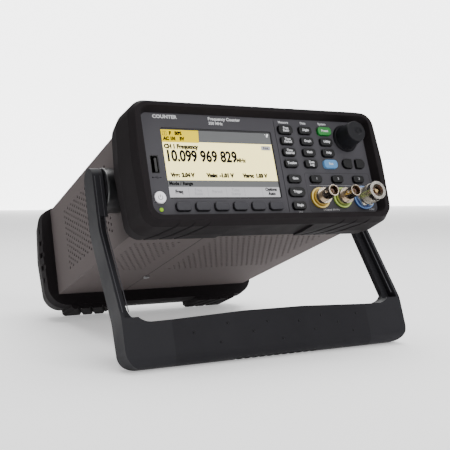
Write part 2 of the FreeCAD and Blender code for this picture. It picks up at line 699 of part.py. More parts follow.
# ---------------------------------------------------------------- rear
rear_jack_x = [-10.0, 9.0, 28.0]
rear_jack_z = 68.0
inlet_x = -75.0
inlet_z = 24.0


def make_rear():
    w = case_w / 2.0 - sheet
    y0 = case_len - rear_t
    plate = box(-w, w, y0, case_len, sheet, case_h - sheet)
    tools = [box(inlet_x - 14.0, inlet_x + 14.0, y0 - 1, case_len + 1, inlet_z - 10.0, inlet_z + 10.0)]
    for x in rear_jack_x:
        tools.append(rod(x, rear_jack_z, 6.0, y0 - 1, case_len + 1))
    tools.append(box(-48.0, -32.0, y0 - 1, case_len + 1, 18.0, 31.5))
    tools.append(box(-24.0, -12.0, y0 - 1, case_len + 1, 18.0, 29.0))
    for k in range(9):
        dz = -24.0 + 6.0 * k
        half = math.sqrt(26.0 ** 2 - dz ** 2)
        tools.append(slab(fan_x - half, fan_x + half, fan_z + dz - 1.8, fan_z + dz + 1.8, 1.6, y0 - 1, case_len + 1))
    node["rear_panel"] = plate.cut(Part.makeCompound(tools))

    inlet = box(inlet_x - 14.0, inlet_x + 14.0, y0 - 18.0, case_len, inlet_z - 10.0, inlet_z + 10.0)
    flange = slab(inlet_x - 24.0, inlet_x + 24.0, inlet_z - 12.0, inlet_z + 12.0, 3.0, case_len, case_len + 2.5)
    inlet = inlet.fuse(flange)
    inlet = inlet.cut(slab(inlet_x - 12.0, inlet_x + 12.0, inlet_z - 8.0, inlet_z + 8.0, 3.0, y0 - 14.0, case_len + 3))
    for k in (-1, 0, 1):
        inlet = inlet.fuse(box(inlet_x + 7.0 * k - 1.0, inlet_x + 7.0 * k + 1.0, y0 - 15.0, case_len - 1.0, inlet_z - 2.0, inlet_z + 2.0))
    node["power_inlet"] = inlet.removeSplitter()

    jacks = []
    for x in rear_jack_x:
        body = rod(x, rear_jack_z, 6.0, y0 - 6.0, case_len + 1.0)
        body = body.fuse(rod(x, rear_jack_z, 7.4, case_len, case_len + 3.0))
        body = body.fuse(rod(x, rear_jack_z, bnc_r, case_len + 3.0, case_len + 15.0))
        for side in (-1, 1):
            body = body.fuse(Part.makeCylinder(1.0, bnc_r + 1.2, V(x, case_len + 11.0, rear_jack_z), V(side, 0, 0)))
        body = body.cut(hollow(x, rear_jack_z, 4.0, 1.1, case_len + 6.0, case_len + 16.0))
        jacks.append(body.removeSplitter())
    node["rear_bnc_jacks"] = Part.makeCompound(jacks)

    lan = box(-48.0, -32.0, y0 - 16.0, case_len + 0.5, 18.0, 31.5)
    lan = lan.cut(box(-46.0, -34.0, y0 - 12.0, case_len + 1, 20.0, 29.0))
    usb = box(-24.0, -12.0, y0 - 14.0, case_len + 0.5, 18.0, 29.0)
    usb = usb.cut(box(-22.2, -13.8, y0 - 11.0, case_len + 1, 19.6, 27.4))
    usb = usb.fuse(box(-20.4, -15.6, y0 - 12.0, case_len - 1.0, 22.0, 25.0))
    node["rear_data_ports"] = Part.makeCompound([lan, usb])

    f = fan_size / 2.0
    y1 = y0 - fan_depth
    frame = box(fan_x - f, fan_x + f, y1, y0, fan_z - f, fan_z + f)
    frame = frame.cut(rod(fan_x, fan_z, fan_r, y1 - 1, y0 + 1))
    arms = []
    arms.append(rod(fan_x, fan_z, 9.0, y0 - 2.0, y0))
    for k in range(4):
        arm = box(-1.5, 1.5, y0 - 2.0, y0, 0, fan_r + 1.0)
        arm.rotate(V(0, 0, 0), V(0, 1, 0), 90.0 * k + 45.0)
        arm.translate(V(fan_x, 0, fan_z))
        arms.append(arm)
    arms.append(rod(fan_x, fan_z, 2.0, y1 + 3.0, y0 - 2.0))
    node["fan_frame"] = fuse_all([frame] + arms)
    hub = rod(fan_x, fan_z, 10.0, y1 + 1.0, y0 - 2.6)
    blades = [hub]
    for k in range(7):
        blade = box(-0.8, 0.8, y1 + 2.0, y0 - 3.4, 8.0, fan_r - 1.2)
        blade.rotate(V(0, (y1 + y0) / 2.0, 0), V(0, 0, 1), 35.0)
        blade.rotate(V(0, 0, 0), V(0, 1, 0), 360.0 * k / 7)
        blade.translate(V(fan_x, 0, fan_z))
        blades.append(blade)
    rotor = fuse_all(blades).cut(rod(fan_x, fan_z, 2.1, y1 + 2.6, y0))
    node["fan_rotor"] = rotor.common(rod(fan_x, fan_z, fan_r - 1.0, y1 + 0.5, y0 - 2.4))

    screws = []
    spots = [(-w + 14.2, 7.5), (w - 14.2, 7.5), (-w + 14.2, case_h - 7.5), (w - 14.2, case_h - 7.5)]
    spots += [(-w + 8.5, 44.0), (38.0, 8.0), (-20.0, case_h - 8.0)]
    for x, z in spots:
        head = rod(x, z, 2.8, case_len, case_len + 1.6)
        slot = box(x - 2.0, x + 2.0, case_len + 0.8, case_len + 2, z - 0.4, z + 0.4)
        slot = slot.fuse(box(x - 0.4, x + 0.4, case_len + 0.8, case_len + 2, z - 2.0, z + 2.0))
        screws.append(head.cut(slot))
    head = Part.makeCylinder(2.8, 1.6, V(-35.0, case_len * 0.73, -1.6))
    head = head.cut(box(-37.0, -33.0, case_len * 0.73 - 0.4, case_len * 0.73 + 0.4, -2, -0.8))
    screws.append(head)
    node["case_screws"] = Part.makeCompound(screws)


# ---------------------------------------------------------------- standing pose
def lean_angle():
    """Tilt at which the crossbar and the rear feet touch the same floor."""
    h = arm_d / 2.0
    bar_r = 8.0
    bar_front_y = bar_y - h + 0.5 + bar_r
    bar_back_y = bar_y + h - 0.5 - bar_r
    bar_centre_z = -bar_low + bar_r
    foot_y = rear_bumper_end - 1.5
    across = foot_y - bar_back_y
    rise = bar_centre_z + rear_foot
    reach = math.hypot(across, rise)
    return math.asin(bar_r / reach) - math.atan2(rise, across)


def stand():
    """Tilt every piece, then put the middle of the footprint on the origin."""
    angle = lean_angle()
    turn = FreeCAD.Rotation(V(1, 0, 0), -math.degrees(angle))
    for name in node:
        node[name].Placement = FreeCAD.Placement(V(0, 0, 0), turn)
    low = [1e9, 1e9]
    high = [-1e9, -1e9]
    for name in node:
        if name.startswith("key") or name.startswith("soft") or name.startswith("channel"):
            continue
        b = node[name].optimalBoundingBox(False)
        low = [min(low[0], b.YMin), min(low[1], b.ZMin)]
        high = [max(high[0], b.YMax), max(high[1], b.ZMax)]
    move = V(0, -(low[0] + high[0]) / 2.0, -low[1])
    for name in node:
        node[name].Placement = FreeCAD.Placement(move, turn)
    return angle, move


make_case()
make_boards()
make_front_bumper()
make_rear_bumper()
make_front_panel()
make_keys()
make_display()
make_key_board()
make_jacks()
make_usb_port()
make_knob()
make_handle()
make_hubs()
make_rear()
lean, shift = stand()

os.makedirs("parts", exist_ok=True)
for name in sorted(node):
    shape = node[name]
    shape.exportStep("parts/%s.step" % name)
print("nodes", len(node), "lean", round(math.degrees(lean), 2), "shift", shift)
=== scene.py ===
"""Looks of a bench frequency counter standing on its tilt handle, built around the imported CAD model."""
import json
import math

import bmesh
import bpy
from mathutils import Matrix, Vector


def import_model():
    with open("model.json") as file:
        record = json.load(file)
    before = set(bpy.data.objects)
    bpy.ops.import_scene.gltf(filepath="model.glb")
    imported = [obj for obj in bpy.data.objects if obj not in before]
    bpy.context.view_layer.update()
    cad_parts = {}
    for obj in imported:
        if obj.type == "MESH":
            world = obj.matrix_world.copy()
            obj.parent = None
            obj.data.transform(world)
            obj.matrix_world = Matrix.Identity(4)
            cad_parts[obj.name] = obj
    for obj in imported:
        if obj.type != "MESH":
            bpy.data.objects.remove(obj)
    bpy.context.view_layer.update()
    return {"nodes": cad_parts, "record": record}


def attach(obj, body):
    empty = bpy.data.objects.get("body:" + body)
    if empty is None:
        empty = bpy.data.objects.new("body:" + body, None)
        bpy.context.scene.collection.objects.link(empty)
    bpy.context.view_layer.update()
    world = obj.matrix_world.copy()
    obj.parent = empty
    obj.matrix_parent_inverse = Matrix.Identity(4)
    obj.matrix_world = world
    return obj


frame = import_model()
NODES = frame["nodes"]
JOINTS = {j["name"]: j for j in frame["record"]["behaviour"]["joints"]}

# ------------------------------------------------------------------ the counter's own upright frame
# Own frame in millimetres: X right, Y to the rear, Z up, y = 0 on the panel face, z = 0 under the case.
HUB_Y, HUB_Z = 63.0, 43.0
Y_AXIS = Vector(JOINTS["softkey_1_press"]["axis"]).normalized()
Z_AXIS = Vector((0.0, -Y_AXIS.z, Y_AXIS.y))
HUB = Vector(JOINTS["handle_swing"]["pos_m"])
ORIGIN = HUB - Y_AXIS * HUB_Y / 1000.0 - Z_AXIS * HUB_Z / 1000.0
TURN = Matrix((Vector((1, 0, 0)), Y_AXIS, Z_AXIS)).transposed().to_4x4()
OWN = Matrix.Translation(ORIGIN) @ TURN @ Matrix.Scale(0.001, 4)


# ------------------------------------------------------------------ materials
GRAIN_SHARE = 0.45     # part of the colour change that the fine grain makes
BUMP_DEPTH = 0.0002    # metres
GLOW_GLOSS = 0.04      # lit surfaces hardly mirror the studio


def new_material(name):
    m = bpy.data.materials.new(name)
    m.use_nodes = True
    nt = m.node_tree
    return m, nt, nt.nodes["Principled BSDF"]


def link(nt, a, b):
    nt.links.new(a, b)


def noise(nt, scale, detail=3.0, rough=0.5):
    coord = nt.nodes.new("ShaderNodeTexCoord")
    tex = nt.nodes.new("ShaderNodeTexNoise")
    tex.inputs["Scale"].default_value = scale
    tex.inputs["Detail"].default_value = detail
    tex.inputs["Roughness"].default_value = rough
    link(nt, coord.outputs["Object"], tex.inputs["Vector"])
    return tex


def ramp(nt, source, low, high, a=0.3, b=0.7):
    r = nt.nodes.new("ShaderNodeMapRange")
    r.inputs["From Min"].default_value = a
    r.inputs["From Max"].default_value = b
    r.inputs["To Min"].default_value = low
    r.inputs["To Max"].default_value = high
    link(nt, source, r.inputs["Value"])
    return r.outputs["Result"]


def surface(name, color, rough=0.5, vary=0.12, grain=900.0, bump=0.15, metallic=0.0, patch=25.0,
            specular=0.5, spread=0.08):
    """Painted, moulded or metal surface: soft colour patches, fine grain in colour and bump.

    vary is how far the colour strays, grain and patch the scales of fine and wide noise, and
    spread how far the roughness strays.
    """
    m, nt, bsdf = new_material(name)
    wide = noise(nt, patch, 4.0, 0.6)
    fine = noise(nt, grain, 2.0, 0.6)
    mix = nt.nodes.new("ShaderNodeMix")
    mix.data_type = "RGBA"
    dark = [c * (1.0 - vary) for c in color[:3]] + [1.0]
    light = [min(1.0, c * (1.0 + vary)) for c in color[:3]] + [1.0]
    mix.inputs["A"].default_value = dark
    mix.inputs["B"].default_value = light
    both = nt.nodes.new("ShaderNodeMath")
    both.operation = "MULTIPLY_ADD"
    both.inputs[1].default_value = GRAIN_SHARE
    link(nt, fine.outputs["Fac"], both.inputs[0])
    link(nt, ramp(nt, wide.outputs["Fac"], 0.0, 1.0 - GRAIN_SHARE), both.inputs[2])
    link(nt, both.outputs[0], mix.inputs["Factor"])
    link(nt, mix.outputs["Result"], bsdf.inputs["Base Color"])
    link(nt, ramp(nt, wide.outputs["Fac"], rough - spread, rough + spread), bsdf.inputs["Roughness"])
    if bump:
        b = nt.nodes.new("ShaderNodeBump")
        b.inputs["Strength"].default_value = bump
        b.inputs["Distance"].default_value = BUMP_DEPTH
        link(nt, fine.outputs["Fac"], b.inputs["Height"])
        link(nt, b.outputs["Normal"], bsdf.inputs["Normal"])
    bsdf.inputs["Metallic"].default_value = metallic
    bsdf.inputs["Specular IOR Level"].default_value = specular
    return m


def glow(name, color, strength, rough=0.25, vary=0.03):
    """Lit surface behind a clear cover: colour with slight unevenness, emission and gloss."""
    m, nt, bsdf = new_material(name)
    wide = noise(nt, 30.0, 2.0, 0.5)
    mix = nt.nodes.new("ShaderNodeMix")
    mix.data_type = "RGBA"
    mix.inputs["A"].default_value = [c * (1.0 - vary) for c in color] + [1.0]
    mix.inputs["B"].default_value = [min(1.0, c * (1.0 + vary)) for c in color] + [1.0]
    link(nt, wide.outputs["Fac"], mix.inputs["Factor"])
    link(nt, mix.outputs["Result"], bsdf.inputs["Base Color"])
    link(nt, mix.outputs["Result"], bsdf.inputs["Emission Color"])
    bsdf.inputs["Emission Strength"].default_value = strength
    bsdf.inputs["Roughness"].default_value = rough
    bsdf.inputs["Specular IOR Level"].default_value = GLOW_GLOSS
    return m


MAT = {
    "case": surface("case_paint", (0.105, 0.090, 0.089),
                    rough=0.70, vary=0.08, grain=1400.0, bump=0.12, patch=12.0, specular=0.04),
    "rubber": surface("bumper_rubber", (0.0125, 0.0105, 0.0115),
                      rough=0.70, vary=0.10, grain=1500.0, bump=0.22, patch=30.0, specular=0.07),
    "panel": surface("panel_plastic", (0.047, 0.045, 0.052),
                     rough=0.55, vary=0.06, grain=1800.0, bump=0.18, patch=40.0, specular=0.22),
    "key": surface("key_plastic", (0.0042, 0.0042, 0.005),
                   rough=0.40, vary=0.15, grain=2200.0, bump=0.12, patch=90.0, specular=0.22),
    "softkey": surface("softkey_plastic", (0.036, 0.035, 0.041),
                       rough=0.5, vary=0.10, grain=2200.0, bump=0.15, patch=90.0, specular=0.2),
    "key_green": surface("key_green", (0.004, 0.17, 0.018),
                         rough=0.34, vary=0.12, grain=2200.0, bump=0.10, patch=120.0, specular=0.4),
    "key_blue": glow("key_blue", (0.085, 0.20, 0.38), strength=0.40, rough=0.35, vary=0.10),
    "white": surface("power_white", (0.88, 0.86, 0.90),
                     rough=0.32, vary=0.04, grain=2000.0, bump=0.06, patch=80.0),
    "lamp": glow("status_lamp", (0.22, 0.42, 0.01), strength=0.5, rough=0.3, vary=0.15),
    "knob": surface("knob_plastic", (0.0085, 0.0085, 0.0105),
                    rough=0.55, vary=0.12, grain=1800.0, bump=0.2, patch=60.0, specular=0.16),
    "mask": surface("window_mask", (0.008, 0.0075, 0.009),
                    rough=0.3, vary=0.1, grain=600.0, bump=0.03, patch=20.0, specular=0.2),
    "handle": surface("handle_plastic", (0.0190, 0.0187, 0.0215),
                      rough=0.50, vary=0.10, grain=1500.0, bump=0.2, patch=20.0, specular=0.08),
    # handle plastic painted lighter: painted highlight along the arm ridges
    "handle_ridge_painted_highlight": surface("handle_ridge_painted_highlight", (0.050, 0.049, 0.055),
                           rough=0.36, vary=0.10, grain=1500.0, bump=0.1, patch=20.0, specular=0.3),
    "hub": surface("hub_plastic", (0.010, 0.0098, 0.0112),
                   rough=0.34, vary=0.10, grain=1500.0, bump=0.02, patch=20.0, specular=0.9),
    "grip": surface("grip_rubber", (0.0105, 0.010, 0.0125),
                    rough=0.62, vary=0.12, grain=1300.0, bump=0.3, patch=26.0, specular=0.16),
    "nickel": surface("nickel", (0.55, 0.47, 0.38),
                      rough=0.2, vary=0.06, grain=700.0, bump=0.05, metallic=1.0, patch=120.0, spread=0.06),
    "silver": surface("silver", (0.58, 0.55, 0.50),
                      rough=0.24, vary=0.06, grain=700.0, bump=0.05, metallic=1.0, patch=120.0, spread=0.06),
    "gold": surface("gold_contact", (0.80, 0.60, 0.28),
                    rough=0.25, vary=0.06, grain=900.0, bump=0.05, metallic=1.0, patch=200.0),
    "insulator": surface("insulator", (0.12, 0.06, 0.04),
                         rough=0.45, vary=0.08, grain=1200.0, bump=0.08, patch=150.0),
    "ring_yellow": surface("ring_yellow", (0.42, 0.25, 0.012),
                           rough=0.35, vary=0.10, grain=1200.0, bump=0.08, patch=100.0),
    "ring_green": surface("ring_green", (0.13, 0.22, 0.02),
                          rough=0.35, vary=0.10, grain=1200.0, bump=0.08, patch=100.0),
    "ring_blue": surface("ring_blue", (0.02, 0.06, 0.24),
                         rough=0.35, vary=0.10, grain=1200.0, bump=0.08, patch=100.0),
    # lighter copies of the ring colours: painted highlight on the ring rims
    "rim_yellow": surface("rim_yellow", (0.80, 0.62, 0.18),
                          rough=0.3, vary=0.06, grain=1200.0, bump=0.06, patch=100.0),
    "rim_green": surface("rim_green", (0.48, 0.62, 0.14),
                         rough=0.3, vary=0.06, grain=1200.0, bump=0.06, patch=100.0),
    "rim_blue": surface("rim_blue", (0.16, 0.30, 0.62),
                        rough=0.3, vary=0.06, grain=1200.0, bump=0.06, patch=100.0),
    "port": surface("port_black", (0.006, 0.006, 0.006),
                    rough=0.4, vary=0.15, grain=1200.0, bump=0.1, patch=80.0, specular=0.3),
    "steel": surface("zinc_steel", (0.36, 0.36, 0.37),
                     rough=0.38, vary=0.10, grain=350.0, bump=0.08, metallic=1.0, patch=35.0),
    # darker copy of the zinc steel: painted shade on the tray inside the case
    "inner": surface("inner_steel_painted_shade", (0.10, 0.10, 0.102),
                     rough=0.45, vary=0.10, grain=350.0, bump=0.08, metallic=1.0, patch=35.0),
    "board": surface("circuit_board", (0.006, 0.040, 0.016),
                     rough=0.45, vary=0.2, grain=300.0, bump=0.1, patch=90.0),
    "fan": surface("fan_plastic", (0.008, 0.008, 0.009),
                   rough=0.45, vary=0.15, grain=900.0, bump=0.1, patch=60.0),
    "print": surface("panel_print", (0.55, 0.55, 0.57),
                     rough=0.5, vary=0.05, grain=1500.0, bump=0.0, patch=200.0),
    "print_grey": surface("panel_print_grey", (0.30, 0.30, 0.33),
                          rough=0.5, vary=0.05, grain=1500.0, bump=0.0, patch=200.0),
    "ink": surface("dark_print", (0.003, 0.003, 0.0035),
                   rough=0.6, vary=0.05, grain=1500.0, bump=0.0, patch=200.0, specular=0.05),
}


KEY_NODES = [n for n in NODES if n.startswith("key_") and n != "key_board"]
KEY_NODES += ["channel_key_1", "channel_key_2", "channel_key_3"]
SOFT_KEYS = ["softkey_%d" % k for k in range(1, 7)]
RINGS = ["channel_1_ring", "channel_2_ring", "channel_3_ring"]
PAINTED = [
    ("case", ["case_sleeve"]),
    ("rubber", ["front_bumper", "rear_bumper"]),
    ("panel", ["front_panel"]),
    ("key", KEY_NODES),
    ("softkey", SOFT_KEYS),
    ("key_green", ["key_preset"]),
    ("key_blue", ["key_run"]),
    ("white", ["power_button"]),
    ("lamp", ["status_lamp"]),
    ("knob", ["knob"]),
    ("mask", ["display_window", "display_module"]),
    ("handle", ["handle_frame"]),
    ("hub", ["pivot_hub_left", "pivot_hub_right"]),
    ("grip", ["handle_grip"]),
    ("nickel", ["bnc_jacks", "rear_bnc_jacks"]),
    ("silver", ["n_jack"]),
    ("gold", ["jack_contacts"]),
    ("insulator", ["jack_insulators"]),
    ("ring_yellow", RINGS[:1]),
    ("ring_green", RINGS[1:2]),
    ("ring_blue", RINGS[2:]),
    ("port", ["usb_host_port", "power_inlet", "rear_data_ports"]),
    # the chassis tray takes the darker steel, painted shade inside the case
    ("inner", ["chassis_tray"]),
    ("steel", ["rear_panel", "case_screws", "knob_encoder"]),
    ("board", ["key_board", "main_board", "power_supply_board"]),
    ("fan", ["fan_frame", "fan_rotor"]),
]
CURVED = ["front_bumper", "rear_bumper", "handle_frame", "handle_grip", "pivot_hub_left",
          "pivot_hub_right", "knob", "bnc_jacks", "n_jack", "power_button", "rear_bnc_jacks"]
SMOOTH_ANGLE = math.radians(35.0)


def paint_nodes():
    """Materials of the CAD nodes; a later row wins over an earlier one."""
    for material, names in PAINTED:
        for name in names:
            mesh = NODES[name].data
            mesh.materials.clear()
            mesh.materials.append(MAT[material])


def smooth_nodes():
    for name in CURVED + RINGS + KEY_NODES + SOFT_KEYS:
        mesh = NODES[name].data
        for face in mesh.polygons:
            face.use_smooth = True
        mesh.set_sharp_from_angle(angle=SMOOTH_ANGLE)


# ------------------------------------------------------------------ building pieces
CAPITAL_TO_SIZE = 1.37     # font size for capitals of height 1
LINE_SPACING = 0.82
WELD = 0.0005              # mm


def finish_piece(name, bm, material, body):
    """Turn a mesh drawn in the own frame into a piece that rides on a body.

    material is a name in MAT or a material of its own.
    """
    bm.transform(OWN)
    bmesh.ops.recalc_face_normals(bm, faces=bm.faces)
    mesh = bpy.data.meshes.new(name)
    bm.to_mesh(mesh)
    bm.free()
    o = bpy.data.objects.new(name, mesh)
    bpy.context.scene.collection.objects.link(o)
    if isinstance(material, str):
        material = MAT[material]
    mesh.materials.append(material)
    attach(o, body)


def add_prism(bm, points, y0, y1):
    """Closed prism over a front-view outline (x, z), from y0 back to y1."""
    front = [bm.verts.new((x, y0, z)) for x, z in points]
    back = [bm.verts.new((x, y1, z)) for x, z in points]
    bm.faces.new(front)
    bm.faces.new(list(reversed(back)))
    n = len(points)
    for i in range(n):
        j = (i + 1) % n
        bm.faces.new((front[i], back[i], back[j], front[j]))


def rect(x0, x1, z0, z1):
    return [(x0, z0), (x1, z0), (x1, z1), (x0, z1)]


def rounded(x0, x1, z0, z1, r, n=5):
    """Rectangle with round corners, from the lower right corner round."""
    pts = []
    centres = [(x1 - r, z0 + r, -90), (x1 - r, z1 - r, 0), (x0 + r, z1 - r, 90), (x0 + r, z0 + r, 180)]
    for cx, cz, a0 in centres:
        for k in range(n + 1):
            a = math.radians(a0 + 90.0 * k / n)
            pts.append((cx + r * math.cos(a), cz + r * math.sin(a)))
    return pts


def frame_ring(bm, outer, inner, y0, y1):
    """Flat ring between two outlines with the same number of points."""
    n = len(outer)
    v = [[bm.verts.new((x, y, z)) for x, z in pts] for y in (y0, y1) for pts in (outer, inner)]
    for i in range(n):
        j = (i + 1) % n
        bm.faces.new((v[0][i], v[0][j], v[1][j], v[1][i]))
        bm.faces.new((v[2][i], v[3][i], v[3][j], v[2][j]))
        bm.faces.new((v[0][i], v[2][i], v[2][j], v[0][j]))
        bm.faces.new((v[1][i], v[1][j], v[3][j], v[3][i]))


def plates(name, shapes, y0, y1, material):
    """Thin plates over front-view outlines, fixed to the chassis."""
    bm = bmesh.new()
    for pts in shapes:
        add_prism(bm, pts, y0, y1)
    finish_piece(name, bm, material, "chassis")


def letters(name, items, material, body="chassis", y=-0.02, thick=0.03):
    """Printed text. Each item is text, x, z, size, align, weight and optional width."""
    bm = bmesh.new()
    for text, x, z, size, align, weight, *width in items:
        stretch = width[0] if width else 1.0
        curve = bpy.data.curves.new("t", "FONT")
        curve.body = text
        curve.size = size * CAPITAL_TO_SIZE
        curve.align_x = align
        curve.align_y = "CENTER"
        curve.offset = weight * size
        curve.extrude = thick / 2.0
        curve.resolution_u = 3
        curve.space_line = LINE_SPACING
        o = bpy.data.objects.new("t", curve)
        bpy.context.scene.collection.objects.link(o)
        bpy.context.view_layer.update()
        mesh = bpy.data.meshes.new_from_object(o.evaluated_get(bpy.context.evaluated_depsgraph_get()))
        mesh.transform(Matrix(((stretch, 0, 0, x), (0, 0, -1, y), (0, 1, 0, z), (0, 0, 0, 1))))
        bm.from_mesh(mesh)
        bpy.data.objects.remove(o)
        bpy.data.curves.remove(curve)
        bpy.data.meshes.remove(mesh)
    bmesh.ops.remove_doubles(bm, verts=bm.verts, dist=WELD)
    finish_piece(name, bm, material, body)


# ------------------------------------------------------------------ display picture
SX0, SX1, SZ0, SZ1 = -89.4, 8.8, 15.9, 71.4     # edges of the lit picture
TAB_X = -57.0          # right edge of the yellow tab
BAR_Z = 61.6           # top bar above, measured value field below
LOW_Z1 = 29.7          # top of the lower bar
STRIP_Z = 24.4         # top of the softkey label strip
PITCH = (SX1 - SX0) / 6.0
FACE_Y = 0.55          # just ahead of the window's front face
LAYER = 0.03           # each layer of the picture lies this far ahead of the last
LINE = 0.12            # half width of the thin lines


def layer(k):
    return FACE_Y - LAYER * k, FACE_Y - LAYER * (k - 1) + 0.002


def display_fields():
    """Coloured areas of the picture; returns the grey that the faint labels share."""
    cream = glow("display_cream", (0.98, 0.85, 0.36), 1.5, 0.3, 0.02)
    yellow = glow("display_yellow", (0.70, 0.51, 0.0), 0.75, 0.3, 0.02)
    grey = glow("display_grey", (0.12, 0.123, 0.125), 0.25, 0.3, 0.05)
    pale = glow("display_pale", (0.42, 0.415, 0.43), 0.35, 0.3, 0.02)
    edge = glow("display_edge", (0.30, 0.30, 0.32), 0.2, 0.3, 0.02)
    light = glow("display_white", (0.95, 0.95, 0.95), 0.5, 0.3, 0.02)
    a, b = layer(1)
    bars = [rect(TAB_X - 1.5, SX1, BAR_Z, SZ1), rect(SX0, SX1, STRIP_Z, LOW_Z1)]
    plates("display_field", [rect(SX0, SX1, LOW_Z1, BAR_Z)], a, b, cream)
    plates("display_bars", bars, a, b, grey)
    plates("display_strip", [rect(SX0, SX1, SZ0, STRIP_Z)], a, b, pale)
    a, b = layer(2)
    tab = [(SX0, BAR_Z - 0.6), (TAB_X - 0.9, BAR_Z - 0.6), (TAB_X, SZ1), (SX0, SZ1)]
    plates("display_tab", [tab], a, b, yellow)
    starts = [SX0 + PITCH * k for k in range(1, 6)]
    lines = [rect(x - LINE, x + LINE, SZ0 + 0.6, STRIP_Z - 0.6) for x in starts]
    lines.append(rect(SX0, SX1, STRIP_Z - 0.2, STRIP_Z))
    plates("display_dividers", lines, a, b, edge)
    bm = bmesh.new()
    frame_ring(bm, rounded(-1.6, 7.4, 56.3, 60.0, 0.6, 3), rounded(-1.3, 7.1, 56.6, 59.7, 0.4, 3), a, b)
    finish_piece("display_box", bm, edge, "chassis")
    plates("display_box_fill", [rect(-1.3, 7.1, 56.6, 59.7)], a + 0.01, b, pale)
    icon = [(5.2, 68.0), (6.6, 68.0), (6.6, 69.4), (7.2, 69.4),
            (7.2, 70.8), (6.0, 70.8), (6.0, 69.6), (5.2, 69.6)]
    plates("display_icon", [icon, rect(3.9, 4.6, 70.0, 70.5)], a, b, light)
    return edge


def display_words(faint):
    """Figures and labels of the picture; the labels of softkeys that are off are faint."""
    ink_y = layer(3)[0]
    ink = [
        ("10.099 969 829", -88.4, 49.3, 9.4, "LEFT", 0.052, 0.775),
        ("MHz", -26.6, 46.8, 3.3, "LEFT", 0.07, 0.95),
        ("CH 1 Frequency", -88.4, 57.4, 3.5, "LEFT", 0.10, 0.90),
        ("Vpp:", -85.9, 33.8, 3.2, "LEFT", 0.12, 0.9),
        ("2.04 V", -76.8, 33.8, 3.2, "LEFT", 0.12, 0.92),
        ("Vmin:", -55.2, 33.8, 3.2, "LEFT", 0.12, 0.9),
        ("-1.01 V", -44.2, 33.8, 3.2, "LEFT", 0.12, 0.98),
        ("Vmax:", -22.9, 33.8, 3.2, "LEFT", 0.12, 0.9),
        ("1.03 V", -11.2, 33.8, 3.2, "LEFT", 0.12, 0.92),
        ("Mode / Range", -88.6, 27.0, 2.9, "LEFT", 0.06, 0.9),
        ("F", -82.6, 68.4, 2.8, "LEFT", 0.11, 0.9),
        ("50%", -77.8, 68.4, 2.8, "LEFT", 0.11, 0.9),
        ("1", -86.6, 68.4, 2.6, "CENTER", 0.02, 0.9),
        ("AC 1M", -88.0, 63.9, 2.8, "LEFT", 0.11, 0.9),
        ("5V", -74.2, 63.9, 2.8, "LEFT", 0.11, 0.9),
        ("Fmt", 2.9, 58.1, 2.6, "CENTER", 0.03, 0.9),
        ("Freq", SX0 + PITCH * 0.5, 20.4, 2.8, "CENTER", 0.06, 0.9),
        ("Options", 6.2, 22.3, 2.6, "RIGHT", 0.07, 0.9),
        ("Auto", 1.2, 18.7, 2.6, "CENTER", 0.07, 0.9),
    ]
    letters("display_text", ink, "ink", y=ink_y, thick=0.02)
    dim = [
        ("Freq\nRatio", SX0 + PITCH * 1.5, 20.2, 2.7, "CENTER", 0.0, 0.9),
        ("Period", SX0 + PITCH * 2.5, 20.4, 2.7, "CENTER", 0.0, 0.9),
        ("Time\nStamp", SX0 + PITCH * 3.5, 20.2, 2.7, "CENTER", 0.0, 0.9),
    ]
    letters("display_text_dim", dim, faint, y=ink_y, thick=0.02)
    bm = bmesh.new()
    frame_ring(bm, rect(-88.4, -84.8, 66.6, 70.2), rect(-88.1, -85.1, 66.9, 69.9), ink_y, ink_y + 0.03)
    finish_piece("display_box_1", bm, "ink", "chassis")


# ------------------------------------------------------------------ panel printing and small details
GRID_X = (24.1, 43.8, 63.5)
GRID_Z = (74.8, 64.8, 54.7, 44.6)
LOW_Z = (31.1, 19.6, 7.9)
LOW_X = 24.5
CHANNEL_KEY_X = (45.8, 67.8, 89.8)
JACK_X = (46.8, 69.2, 91.8)
JACK_Z = 14.5
POWER_X, POWER_Z = -98.3, 15.3
KEY_FACE = -2.4
TITLE_Z = 81.9
USB_MARK = (-98.3, 31.6)
GRIP_FRONT = 26.0
ARM_OUTSIDE, ARM_DEPTH = 130.5, 21.0
RIDGE_ACROSS, RIDGE_WIDTH, RIDGE_PROUD = (2.0, 6.6), 0.6, 0.3
RIDGE_SUNK = 0.3
RING_RADII = (9.0, 9.0, 10.4)


def print_panel():
    rows = [
        ("COUNTER", -95.0, TITLE_Z, 2.9, "LEFT", 0.055, 1.1),
        ("Frequency Counter", -46.9, TITLE_Z, 2.7, "LEFT", 0.05),
        ("350 MHz", -46.9, 78.0, 2.5, "LEFT", 0.05),
        ("Measure", GRID_X[0], TITLE_Z, 2.1, "CENTER", 0.045),
        ("Data", GRID_X[1], TITLE_Z, 2.1, "CENTER", 0.045),
        ("System", GRID_X[2], TITLE_Z, 2.1, "CENTER", 0.045),
        ("2 Channels 350 MHz", 56.5, 4.3, 1.5, "CENTER", 0.0, 0.95),
        ("6 GHz", 98.4, 4.3, 1.5, "CENTER", 0.0, 0.95),
        ("Local", LOW_X + 1.0, 2.9, 1.4, "CENTER", 0.0, 0.95),
    ]
    letters("panel_print_text", rows, "print")
    plates("panel_print_line", [rect(38.8, 93.4, 25.6, 25.85)], -0.03, 0.31, "print_grey")
    outer = rounded(35.5, 102.8, 2.6, 36.9, 2.0, 4)
    inner = rounded(35.75, 102.55, 2.85, 36.65, 1.8, 4)
    bm = bmesh.new()
    frame_ring(bm, outer, inner, -0.02, 0.02)
    finish_piece("panel_frame_line", bm, "mask", "chassis")


